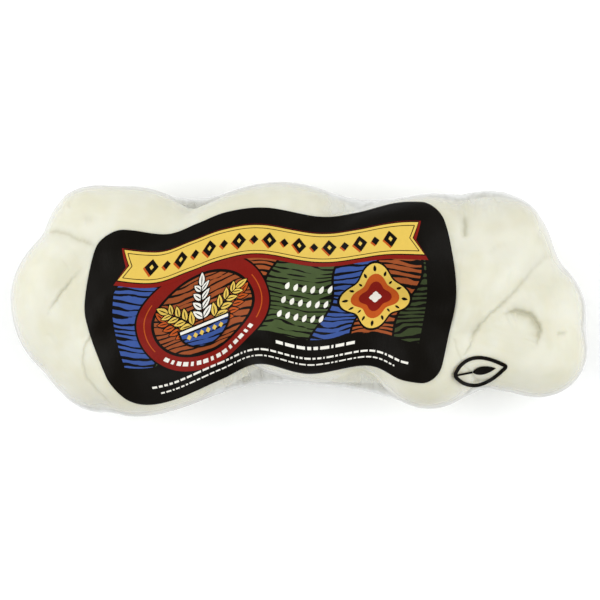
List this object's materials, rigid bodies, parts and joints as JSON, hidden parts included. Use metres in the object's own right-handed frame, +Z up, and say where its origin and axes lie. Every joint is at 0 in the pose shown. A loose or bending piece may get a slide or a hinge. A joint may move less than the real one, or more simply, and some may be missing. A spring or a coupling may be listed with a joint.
{
  "type": "braided string cheese",
  "caption": "Braided string cheese: a blunt-ended plait of soft white cheese, shrunk tight in clear film, with a dark wavy-edged printed label across its front.",
  "frame": {"origin": "middle of the pack in plan, on the plane that it rests on", "axes": "+X along the pack, +Y across it towards the label's upper edge, +Z up, out of the label"},
  "size_m": [0.1632, 0.0662, 0.0372],
  "materials": {
    "cheese_in_film": "smooth white cheese under tight clear film, softly glossy",
    "printed_label": "printed film label, black border round coloured fields, satin gloss"
  },
  "bodies": {
    "root": {"sealed_pack": "cheese_in_film", "label": "printed_label"}
  },
  "joints": []
}
